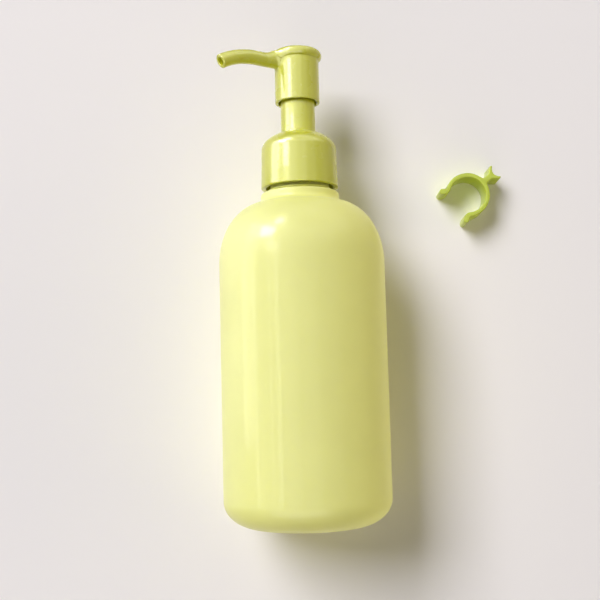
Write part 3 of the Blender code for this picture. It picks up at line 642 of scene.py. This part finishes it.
def bottle_skin():
    """The bottle, from its floor up the inside and down the outside, with its thread."""
    centre = (BODY_RADIUS - SHOULDER_WIDTH, SHOULDER_Z)
    inner_shoulder = (SHOULDER_WIDTH - BODY_WALL, SHOULDER_HEIGHT - BODY_WALL)
    inner_corner = (BASE_CORNER_WIDTH - BODY_WALL, BASE_CORNER_HEIGHT - BODY_WALL)
    inner_radius = BODY_RADIUS - BODY_WALL
    ring_outer = BODY_RADIUS - BASE_CORNER_WIDTH
    ring_inner = ring_outer - STANDING_RING
    step_inner = STEP_RADIUS - BODY_WALL
    touch = step_foot_angle(centre)
    touch_r = centre[0] + SHOULDER_WIDTH * math.cos(math.radians(touch))
    touch_z = centre[1] + SHOULDER_HEIGHT * math.sin(math.radians(touch))
    foot_turn = math.degrees(math.acos((STEP_RADIUS + STEP_FOOT - touch_r) / STEP_FOOT))
    foot_centre = (STEP_RADIUS + STEP_FOOT, touch_z + STEP_FOOT * math.sin(math.radians(foot_turn)))

    corner_centre = (inner_radius - inner_corner[0], FLOOR_Z + inner_corner[1])
    inside = [(0.0, FLOOR_Z)]
    inside += arc(corner_centre, inner_corner, -90, 0, count=14)
    inside += arc(centre, inner_shoulder, 0, 90, count=20)
    inside += rounded([
        (centre[0], SHOULDER_Z + inner_shoulder[1], 0),
        (step_inner, SHOULDER_Z + inner_shoulder[1], SHOULDER_INNER_ROUND),
        (step_inner, STEP_TOP_Z - BODY_WALL, STEP_INNER_ROUND),
        (NECK_BORE_RADIUS, STEP_TOP_Z - BODY_WALL, STEP_INNER_ROUND),
        (NECK_BORE_RADIUS, NECK_TOP_Z, NECK_TOP_ROUND),
        (NECK_ROOT_RADIUS, NECK_TOP_Z, NECK_TOP_ROUND),
        (NECK_ROOT_RADIUS, BEAD_Z + BEAD_HEIGHT, FINE_ROUND),
        (BEAD_RADIUS, BEAD_Z + BEAD_HEIGHT, BEAD_ROUND),
        (BEAD_RADIUS, BEAD_Z, BEAD_ROUND),
        (NECK_ROOT_RADIUS, BEAD_Z, FINE_ROUND),
        (NECK_ROOT_RADIUS, STEP_TOP_Z, FINE_ROUND),
        (STEP_RADIUS, STEP_TOP_Z, STEP_ROUND),
        (STEP_RADIUS, foot_centre[1], 0),
    ])[1:-1]
    outside = arc(foot_centre, (STEP_FOOT, STEP_FOOT), 180, 180 + foot_turn, count=10)[:-1]
    outside += arc(centre, (SHOULDER_WIDTH, SHOULDER_HEIGHT), touch, 0, count=36)
    straight = SHOULDER_Z - BASE_CORNER_HEIGHT
    for step in range(1, BODY_STEPS):
        outside.append((BODY_RADIUS, SHOULDER_Z - straight * step / BODY_STEPS))
    corner = (BASE_CORNER_WIDTH, BASE_CORNER_HEIGHT)
    outside += arc((ring_outer, BASE_CORNER_HEIGHT), corner, 0, -90, count=24)
    outside += rounded([
        (ring_outer, 0.0, 0),
        (ring_inner, 0.0, RING_ROUND),
        (ring_inner - RECESS_SLOPE, BASE_RECESS, RING_ROUND),
        (0.0, BASE_RECESS, 0),
    ])[1:]
    obj = turned("bottle_skin", inside + outside, BOTTLE_SIDES, closed=False)
    root = NECK_ROOT_RADIUS + THREAD_STAND
    add_thread(obj, root, NECK_THREAD_CORE, NECK_THREAD_Z, NECK_THREAD_TURNS)
    dress(obj, BOTTLE_PLASTIC, "bottle_plastic", "bottle", "bottle")


def closure_skin():
    """The closure, from the sleeve's hole over the dome and up the bore, with its thread."""
    share = (CLOSURE_TOP_RADIUS - SLEEVE_HOLE_RADIUS) / DOME_WIDTH
    hole_angle = math.degrees(math.acos(1 - share))
    centre = (CLOSURE_TOP_RADIUS - DOME_WIDTH, DOME_Z)
    outside = arc(centre, (DOME_WIDTH, DOME_HEIGHT), hole_angle, 0, count=36)
    corners = [
        (CLOSURE_TOP_RADIUS, DOME_Z, 0),
        (LIP_RADIUS, LIP_Z, LIP_ROUND),
        (CLOSURE_BORE_RADIUS, LIP_Z, CLOSURE_BORE_ROUND),
        (CLOSURE_BORE_RADIUS, SEAT_Z, SEAT_ROUND),
        (SEAT_RADIUS, SEAT_Z, 0),
        (SEAT_RADIUS, dome_height(SEAT_RADIUS) - DOME_WALL, 0),
        (SLEEVE_HOLE_RADIUS, dome_height(SLEEVE_HOLE_RADIUS) - DOME_WALL, 0),
        (SLEEVE_HOLE_RADIUS, dome_height(SLEEVE_HOLE_RADIUS), 0),
    ]
    obj = turned("closure_skin", outside + rounded(corners)[1:-1], CLOSURE_SIDES)
    root = CLOSURE_BORE_RADIUS - THREAD_STAND
    add_thread(obj, root, CLOSURE_THREAD_CORE, CLOSURE_THREAD_Z, CLOSURE_THREAD_TURNS)
    dress(obj, PUMP_PLASTIC, "pump_plastic", "closure", "closure")


def sleeve_skin():
    """The guide sleeve, with its flange under the closure and the guide for the rod at its foot."""
    corners = [
        (SLEEVE_BORE_RADIUS, SLEEVE_TOP_Z - SLEEVE_BORE_START, 0),
        (SLEEVE_BORE_RADIUS, SLEEVE_TOP_Z, SLEEVE_ROUND),
        (SLEEVE_RADIUS, SLEEVE_TOP_Z, SLEEVE_ROUND),
        (SLEEVE_RADIUS, FLANGE_TOP_Z, 0),
        (COLLAR_FLANGE_RADIUS, FLANGE_TOP_Z, FINE_ROUND),
        (COLLAR_FLANGE_RADIUS, FLANGE_TOP_Z - COLLAR_FLANGE_HEIGHT, FINE_ROUND),
        (COLLAR_TUBE_RADIUS, FLANGE_TOP_Z - COLLAR_FLANGE_HEIGHT, 0),
        (COLLAR_TUBE_RADIUS, GUIDE_Z, SLEEVE_ROUND),
        (GUIDE_RADIUS, GUIDE_Z, FINE_ROUND),
        (GUIDE_RADIUS, GUIDE_Z + GUIDE_HEIGHT, FINE_ROUND),
        (SLEEVE_BORE_RADIUS, GUIDE_Z + GUIDE_HEIGHT, 0),
    ]
    obj = turned("guide_sleeve_skin", rounded(corners), SLEEVE_SIDES)
    dress(obj, PUMP_PLASTIC, "pump_plastic", "pump_unit", "guide_sleeve")


def spout_straight():
    """The length of the spout's straight part, before its bend."""
    rise, bend = math.radians(SPOUT_RISE), math.radians(SPOUT_BEND)
    return (SPOUT_REACH - SPOUT_BEND_RADIUS * (math.sin(rise) + math.sin(bend))) / math.cos(rise)


def spout_length():
    """The length of the spout's centre line, up to its tip."""
    return spout_straight() + SPOUT_BEND_RADIUS * math.radians(SPOUT_RISE + SPOUT_BEND)


def spout_slope(along):
    """How steeply the spout rises at a distance along it, in radians."""
    turned_by = max(0.0, along - spout_straight()) / SPOUT_BEND_RADIUS
    return math.radians(SPOUT_RISE) - min(turned_by, math.radians(SPOUT_RISE + SPOUT_BEND))


def spout_point(along):
    """The place of the spout's centre line at a distance along it. Nothing asks past its tip."""
    rise = math.radians(SPOUT_RISE)
    first = min(along, spout_straight())
    slope = spout_slope(along)
    reach = first * math.cos(rise) + SPOUT_BEND_RADIUS * (math.sin(rise) - math.sin(slope))
    height = first * math.sin(rise) + SPOUT_BEND_RADIUS * (math.cos(slope) - math.cos(rise))
    turn = math.radians(SPOUT_TURN)
    return Vector((-reach * math.cos(turn), -reach * math.sin(turn), SPOUT_Z + height))


def head_outline():
    """The outside of the head: the dish in its top, the rim and the skirt."""
    rim_foot = -math.degrees(math.acos((SKIRT_RADIUS - RIM_CENTRE[0]) / RIM_ROUND))
    profile = []
    for step in range(DISH_STEPS):
        share = step / DISH_STEPS
        depth = DISH_DEPTH * (1 - share**2) ** 1.5
        profile.append((RIM_CENTRE[0] * step / DISH_STEPS, HEAD_TOP_Z - depth))
    profile += arc(RIM_CENTRE, (RIM_ROUND, RIM_ROUND), 90, rim_foot, count=28)
    foot_z = profile[-1][1]
    skirt = SKIRT_Z + SKIRT_LEAD - foot_z
    for step in range(1, SKIRT_STEPS + 1):
        profile.append((SKIRT_RADIUS, foot_z + skirt * step / SKIRT_STEPS))
    return profile


def distance_to_line(points, line):
    """Distance from each of the points to a line of points."""
    points, line = np.asarray(points), np.asarray(line)
    best = np.full(len(points), np.inf)
    for a, b in zip(line[:-1], line[1:]):
        ab = b - a
        share = np.clip(((points - a) @ ab) / (ab @ ab), 0, 1)
        best = np.minimum(best, np.linalg.norm(points - (a + share[:, None] * ab), axis=1))
    return best


def ease(share):
    """A share from 0 to 1 that starts and ends gently."""
    share = np.clip(share, 0, 1)
    return share * share * (3 - 2 * share)


def fillet_reach(points):
    """The fillet of spout and head: long on top, short below, and almost none at the rim's top."""
    upper = ease((points[:, 2] - SPOUT_Z + FILLET_CHANGE_DROP) / FILLET_CHANGE)
    reach = LOWER_FILLET + (UPPER_FILLET - LOWER_FILLET) * upper
    room = ease((HEAD_TOP_Z - points[:, 2]) / RIM_FREE)
    return reach * (RIM_FILLET_SHARE + (1 - RIM_FILLET_SHARE) * room)


def push_out(mesh, other_distance):
    """Moves a surface out along its normals near another, so that the two flow into each other."""
    co, normals = np.zeros((2, len(mesh.vertices) * 3))
    mesh.vertices.foreach_get("co", co)
    mesh.vertices.foreach_get("normal", normals)
    co, normals = co.reshape(-1, 3), normals.reshape(-1, 3)
    moved = np.zeros(len(co))
    reach = fillet_reach(co)
    for _ in range(PUSH_ROUNDS):
        apart = np.abs(moved - other_distance(co + normals * moved[:, None]))
        moved = np.maximum(reach - apart, 0) ** 2 / (4 * reach)
    inside = other_distance(co) < -reach
    moved[inside] = 0
    co = co + normals * moved[:, None]
    mesh.vertices.foreach_set("co", co.ravel())
    mesh.update()


def spout_rings(places, sides):
    """Rings at places along the spout, each square to its centre line."""
    turn = math.radians(SPOUT_TURN)
    side = Vector((math.sin(turn), -math.cos(turn), 0.0))
    rings = []
    for along, radius in places:
        slope = spout_slope(along)
        level = math.cos(slope)
        ahead = Vector((-math.cos(turn) * level, -math.sin(turn) * level, math.sin(slope)))
        top = ahead.cross(side).normalized()
        centre = spout_point(along)
        rings.append([
            centre + radius * (math.cos(around) * side + math.sin(around) * top)
            for around in circle(sides)
        ])
    return rings


def spout_mesh():
    """The spout: its outside, its rounded mouth and its bore, as one closed tube."""
    tip, edge, mouth = spout_length(), SPOUT_EDGE_ROUND, SPOUT_MOUTH_ROUND
    length = tip - edge - SPOUT_START
    places = []
    for step in range(SPOUT_STEPS + 1):
        places.append((SPOUT_START + length * step / SPOUT_STEPS, SPOUT_RADIUS))
    quarter = [math.radians(90 * step / ROUND_STEPS) for step in range(ROUND_STEPS + 1)]
    for angle in quarter[1:]:
        radius = SPOUT_RADIUS - edge + edge * math.cos(angle)
        places.append((tip - edge + edge * math.sin(angle), radius))
    for angle in quarter:
        radius = SPOUT_BORE_RADIUS + mouth - mouth * math.sin(angle)
        places.append((tip - mouth + mouth * math.cos(angle), radius))
    depth = tip - SPOUT_BORE_START
    for step in range(1, SPOUT_BORE_STEPS + 1):
        places.append((tip - mouth - depth * step / SPOUT_BORE_STEPS, SPOUT_BORE_RADIUS))
    mesh = grid_mesh("spout", spout_rings(places, SPOUT_SIDES), cap_ends=True)
    face_out(mesh)
    return mesh


def head_skin():
    """The head, lathed, and its spout, each pushed out near the other as a fillet between them."""
    outline = head_outline()
    cavity_top = SLEEVE_TOP_Z + STROKE + 2 * GAP
    socket_z = SLEEVE_TOP_Z + SOCKET_RISE
    rod_top = cavity_top - ROD_ROOM
    lower = rounded([
        (SKIRT_RADIUS, SKIRT_Z + SKIRT_LEAD, 0),
        (SKIRT_RADIUS, SKIRT_Z, SKIRT_ROUND),
        (SKIRT_BORE_RADIUS, SKIRT_Z, SKIRT_ROUND),
        (SKIRT_BORE_RADIUS, cavity_top, CAVITY_ROUND),
        (SOCKET_RADIUS, cavity_top, CAVITY_ROUND),
        (SOCKET_RADIUS, socket_z, SKIRT_ROUND),
        (SOCKET_BORE_RADIUS, socket_z, SKIRT_ROUND),
        (SOCKET_BORE_RADIUS, rod_top, FINE_ROUND),
        (CHANNEL_RADIUS, rod_top, FINE_ROUND),
        (CHANNEL_RADIUS, SPOUT_Z, 0),
        (0.0, SPOUT_Z, 0),
    ])[1:]
    mesh = lathe(outline + lower, HEAD_SIDES, closed=False)
    clean(mesh)
    steps = range(SPOUT_LINE_STEPS + 1)
    line = [spout_point(spout_length() * step / SPOUT_LINE_STEPS) for step in steps]
    push_out(mesh, lambda points: distance_to_line(points, line) - SPOUT_RADIUS)
    smooth(mesh)
    obj = link("pump_head_skin", mesh)
    mesh.name = "pump_head_skin"

    def outside_head(points):
        flat = np.stack([np.hypot(points[:, 0], points[:, 1]), points[:, 2]], 1)
        away = distance_to_line(flat, outline)
        inside = (flat[:, 0] < SKIRT_RADIUS) & (flat[:, 1] < RIM_CENTRE[1])
        rim = np.hypot(flat[:, 0] - RIM_CENTRE[0], flat[:, 1] - RIM_CENTRE[1]) < RIM_ROUND
        return np.where(inside | rim, -away, away)

    spout = spout_mesh()
    push_out(spout, outside_head)
    add_mesh(obj, spout)
    dress(obj, PUMP_PLASTIC, "pump_plastic", "head", "pump_head")


def clip_arm():
    """The middle line of one arm, from the ring's back to its flared lip, with half its width."""
    middle = CLIP_INNER_RADIUS + CLIP_WALL / 2
    line = []
    for step in range(ARM_STEPS + 1):
        angle = math.radians(180 + (CLIP_ARM_ANGLE - 180) * step / ARM_STEPS)
        line.append((middle * math.cos(angle), middle * math.sin(angle), CLIP_WALL / 2))
    heading = math.radians(CLIP_ARM_ANGLE - 90)
    start = line[-1]
    bend_x = start[0] - CLIP_BEND_RADIUS * math.sin(heading)
    bend_y = start[1] + CLIP_BEND_RADIUS * math.cos(heading)
    for step in range(1, LIP_STEPS + 1):
        turned_by = heading + math.radians(CLIP_BEND) * step / LIP_STEPS
        x = bend_x + CLIP_BEND_RADIUS * math.sin(turned_by)
        y = bend_y - CLIP_BEND_RADIUS * math.cos(turned_by)
        growth = 1 + (CLIP_LIP_GROWTH - 1) * step / LIP_STEPS
        line.append((x, y, CLIP_WALL / 2 * growth))
    x, y, half = line[-1]
    direction = heading + math.radians(CLIP_BEND)
    x += CLIP_LIP_LENGTH * math.cos(direction)
    y += CLIP_LIP_LENGTH * math.sin(direction)
    line.append((x, y, half))
    return line


def clip_outline():
    """The whole outline: grip, stem, an arm's outside, lip and inside, then the mirrored half."""
    line = clip_arm()
    outer, inner = [], []
    for index, (x, y, half) in enumerate(line):
        before = line[max(index - 1, 0)]
        after = line[min(index + 1, len(line) - 1)]
        length = math.hypot(after[0] - before[0], after[1] - before[1])
        ahead = ((after[0] - before[0]) / length, (after[1] - before[1]) / length)
        outer.append((x - half * ahead[1], y + half * ahead[0]))
        inner.append((x + half * ahead[1], y - half * ahead[0]))
    x, y, half = line[-1]
    direction = math.atan2(ahead[1], ahead[0])
    cap = []
    for step in range(1, LIP_STEPS):
        angle = direction + math.pi / 2 - math.pi * step / LIP_STEPS
        cap.append((x + half * math.cos(angle), y + half * math.sin(angle)))
    ring_outer = CLIP_INNER_RADIUS + CLIP_WALL
    stem_end = ring_outer + CLIP_STEM_LENGTH
    grip_end = stem_end + CLIP_GRIP_LENGTH
    stem_half = CLIP_STEM_WIDTH / 2
    grip_half = CLIP_GRIP_WIDTH / 2
    grip = []
    for step in range(GRIP_STEPS):
        share = step / GRIP_STEPS
        dish = CLIP_GRIP_DISH * (1 - share * share)
        grip.append((-(grip_end - dish), grip_half * CLIP_DISH_SHARE * share))
    grip += [(-(grip_end - back), grip_half * share) for back, share in CLIP_GRIP_TIP]
    grip += [(-(stem_end - back), stem_half + out) for back, out in CLIP_GRIP_FLANK]
    for step in range(ROOT_STEPS + 1):
        angle = math.radians(90 * step / ROOT_STEPS)
        out = ring_outer + CLIP_ROOT_FILLET * (1 - math.sin(angle)) - CLIP_ROOT_SINK
        grip.append((-out, stem_half + CLIP_ROOT_FILLET * (1 - math.cos(angle))))
    clear_y, clear_x = stem_half + CLIP_ROOT_WIDTH, -ring_outer + CLIP_ROOT_DEPTH
    outer = [p for p in outer if p[1] > clear_y or p[0] > clear_x]
    upper = grip + outer + cap + inner[::-1]
    lower = [(x, -y) for x, y in reversed(upper) if y > MIRROR_TOLERANCE]
    return upper + lower


def clip_skin():
    """The lock clip, lying on the table with its outline towards the viewer."""
    height = EXPOSED_SLEEVE - GAP
    turn = math.radians(CLIP_OPENING)
    across, up = math.cos(turn), math.sin(turn)
    outline = [(x * across - y * up, x * up + y * across) for x, y in clip_outline()]
    near, far = BODY_RADIUS - height, BODY_RADIUS
    verts = [(CLIP_CENTRE[0] + x, near, CLIP_CENTRE[1] + z) for x, z in outline]
    verts += [(CLIP_CENTRE[0] + x, far, CLIP_CENTRE[1] + z) for x, z in outline]
    count = len(outline)
    faces = [tuple(range(count)), tuple(range(2 * count - 1, count - 1, -1))]
    faces += [(i, i + count, (i + 1) % count + count, (i + 1) % count) for i in range(count)]
    mesh = bpy.data.meshes.new("lock_clip_skin")
    mesh.from_pydata(verts, [], faces)
    clean(mesh)
    shape = bmesh.new()
    shape.from_mesh(mesh)
    rims = [
        edge for edge in shape.edges
        if abs(edge.verts[0].co.y - edge.verts[1].co.y) < LEVEL_TOLERANCE
    ]
    bmesh.ops.bevel(
        shape, geom=rims, offset=CLIP_BEVEL, offset_type="OFFSET",
        segments=3, profile=0.5, affect="EDGES",
    )
    shape.to_mesh(mesh)
    shape.free()
    smooth(mesh, FINE_SHARP_ANGLE)
    dress(link("lock_clip_skin", mesh), CLIP_PLASTIC, "clip_plastic", "clip", "lock_clip")


def spring_skin():
    """The spring's wire, wound closer at both ends."""
    low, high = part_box("return_spring")
    bottom, top = low.z + SPRING_WIRE, high.z - SPRING_WIRE
    end_rise = (2 * SPRING_WIRE + GAP + SPRING_END_GAP) * SPRING_CLOSED_TURNS
    path = []
    for step in range(round(SPRING_TURNS * SPRING_STEPS_PER_TURN) + 1):
        turn = step / SPRING_STEPS_PER_TURN
        if turn < SPRING_CLOSED_TURNS:
            height = bottom + end_rise * turn / SPRING_CLOSED_TURNS
        elif turn > SPRING_TURNS - SPRING_CLOSED_TURNS:
            height = top - end_rise * (SPRING_TURNS - turn) / SPRING_CLOSED_TURNS
        else:
            share = (turn - SPRING_CLOSED_TURNS) / (SPRING_TURNS - 2 * SPRING_CLOSED_TURNS)
            height = bottom + end_rise + (top - bottom - 2 * end_rise) * share
        angle = 2 * math.pi * turn
        path.append((SPRING_RADIUS * math.cos(angle), SPRING_RADIUS * math.sin(angle), height))
    rings = sweep_rings(path, [SPRING_WIRE] * len(path), SPRING_SIDES)
    mesh = grid_mesh("return_spring_wire", rings, cap_ends=True)
    clean(mesh)
    smooth(mesh)
    obj = link("return_spring_wire", mesh)
    dress(obj, SPRING_STEEL, "spring_steel", "pump_unit", "return_spring")
    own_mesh(obj)


def dress_cad():
    """The inner pieces that show as their own solids get a surface and soft edges."""
    surfaces = {
        "piston_rod": NATURAL_PLASTIC,
        "piston_seal": NATURAL_PLASTIC,
        "valve_post": NATURAL_PLASTIC,
        "pump_housing": NATURAL_PLASTIC,
        "dip_tube": TUBE_PLASTIC,
        "neck_gasket": GASKET_FOAM,
        "inlet_ball": BALL_STEEL,
    }
    for name, surface in surfaces.items():
        node = frame["nodes"][name]
        node.data.materials.clear()
        node.data.materials.append(surface)
        smooth(node.data, FINE_SHARP_ANGLE)


# ---- stage, light and camera ----
def larger(tree, first, second):
    """The larger of two values."""
    node = tree.nodes.new("ShaderNodeMath")
    node.operation = "MAXIMUM"
    tree.links.new(first, node.inputs[0])
    tree.links.new(second, node.inputs[1])
    return node.outputs[0]


def mixed_shader(tree, factor, first, second):
    """The first shader where the factor is 0, and the second where it is 1."""
    node = tree.nodes.new("ShaderNodeMixShader")
    for out, socket in zip((factor, first, second), node.inputs):
        tree.links.new(out, socket)
    return node.outputs[0]


def background(tree, colour, strength):
    """An even light from all round."""
    node = tree.nodes.new("ShaderNodeBackground")
    node.inputs["Color"].default_value = (*colour, 1)
    node.inputs["Strength"].default_value = strength
    return node.outputs[0]


def table():
    """The photographed table: an upright plane at the bottle's back.

    It shows from its front only and lets the light of lamps behind it through.
    """
    corners = ((-1, -1), (1, -1), (1, 1), (-1, 1))
    mesh = bpy.data.meshes.new("table")
    verts = [(x * TABLE_HALF, TABLE_Y, z * TABLE_HALF) for x, z in corners]
    mesh.from_pydata(verts, [], [(0, 1, 2, 3)])
    obj = link("table", mesh)
    nodes = Nodes("table")
    nodes.tint(nodes.noise(*TABLE_NOISE), TABLE_COLOUR, TABLE_TONE_SHARES)
    nodes.set(Roughness=TABLE_ROUGHNESS, Specular_IOR_Level=0.0)
    clear = nodes.add("ShaderNodeBsdfTransparent").outputs[0]
    back = nodes.add("ShaderNodeNewGeometry").outputs["Backfacing"]
    shadow = nodes.add("ShaderNodeLightPath").outputs["Is Shadow Ray"]
    either = larger(nodes.tree, back, shadow)
    surface = mixed_shader(nodes.tree, either, nodes.shader.outputs[0], clear)
    nodes.join(surface, nodes.tree.nodes["Material Output"].inputs["Surface"])
    mesh.materials.append(nodes.material)


def lamp(name, towards, distance, size, energy, colour=(1, 1, 1), glossy=True, diffuse=True):
    """A soft rectangular lamp that faces the object. The size is its width and its height."""
    data = bpy.data.lights.new(name, "AREA")
    data.shape = "RECTANGLE"
    data.size, data.size_y = size
    data.energy = energy
    data.color = colour
    obj = bpy.data.objects.new(name, data)
    bpy.context.scene.collection.objects.link(obj)
    direction = Vector(towards).normalized()
    side = direction.cross(Vector((0, 0, 1))).normalized() * -1
    turn = Matrix((side, direction.cross(side), direction)).transposed()
    place = Vector(LAMP_AIM) + direction * distance
    obj.matrix_world = Matrix.Translation(place) @ turn.to_4x4()
    obj.visible_camera = False
    obj.visible_glossy = glossy
    obj.visible_diffuse = diffuse


def lamp_size(spread, distance):
    """The width and height that span two angles at a distance."""
    return [2 * distance * math.tan(math.radians(angle / 2)) for angle in spread]


def soft_light(name, towards, spread, level, colour):
    """A lamp far off, to light the table evenly. A white sheet facing it renders at level."""
    distance = SOFT_LIGHT_DISTANCE
    energy = math.pi**2 * distance**2 * level
    lamp(name, towards, distance, lamp_size(spread, distance), energy, colour, glossy=False)


def window(name, azimuth, elevation, spread, brightness):
    """A bright pane that shows as a reflection only. Azimuth 90 is left in the photograph."""
    a, e = math.radians(azimuth), math.radians(elevation)
    towards = (-math.sin(a) * math.cos(e), -math.cos(a) * math.cos(e), math.sin(e))
    size = lamp_size(spread, WINDOW_DISTANCE)
    energy = math.pi * size[0] * size[1] * brightness
    lamp(name, towards, WINDOW_DISTANCE, size, energy, diffuse=False)


def lights():
    """The lamps that light the scene, and the panes that only show as reflections."""
    for settings in SOFT_LIGHTS:
        soft_light(*settings)
    for settings in WINDOWS:
        window(*settings)


def world():
    """A faint even light, and the table's colour to camera, glossy and transmission rays."""
    scene = bpy.context.scene
    scene.world = bpy.data.worlds.new("world")
    scene.world.use_nodes = True
    tree = scene.world.node_tree
    tree.nodes.clear()
    out = tree.nodes.new("ShaderNodeOutputWorld")
    seen = background(tree, TABLE_COLOUR, 1.0)
    light = background(tree, WORLD_COLOUR, WORLD_LEVEL)
    ray = tree.nodes.new("ShaderNodeLightPath").outputs
    either = larger(tree, ray["Is Camera Ray"], ray["Is Transmission Ray"])
    either = larger(tree, either, ray["Is Glossy Ray"])
    tree.links.new(mixed_shader(tree, either, light, seen), out.inputs["Surface"])


def camera():
    """The camera of the photograph."""
    data = bpy.data.cameras.new("camera")
    data.sensor_width = CAMERA_SENSOR
    data.lens = CAMERA_LENS
    data.clip_start, data.clip_end = CAMERA_CLIP
    obj = bpy.data.objects.new("camera", data)
    bpy.context.scene.collection.objects.link(obj)
    ahead, right, up = Vector((0, 1, 0)), Vector((1, 0, 0)), Vector((0, 0, 1))
    yaw = Matrix.Rotation(math.radians(CAMERA_YAW), 3, up)
    ahead, right = yaw @ ahead, yaw @ right
    pitch = Matrix.Rotation(math.radians(CAMERA_PITCH), 3, right)
    ahead, up = pitch @ ahead, pitch @ up
    roll = Matrix.Rotation(math.radians(CAMERA_ROLL), 3, ahead)
    right, up = roll @ right, roll @ up
    turn = Matrix((right, up, -ahead)).transposed()
    obj.matrix_world = Matrix.Translation(CAMERA_PLACE) @ turn.to_4x4()
    bpy.context.scene.camera = obj


camera()
world()
lights()
table()
bottle_skin()
closure_skin()
sleeve_skin()
head_skin()
clip_skin()
spring_skin()
dress_cad()
bpy.context.scene.view_settings.view_transform = "Standard"
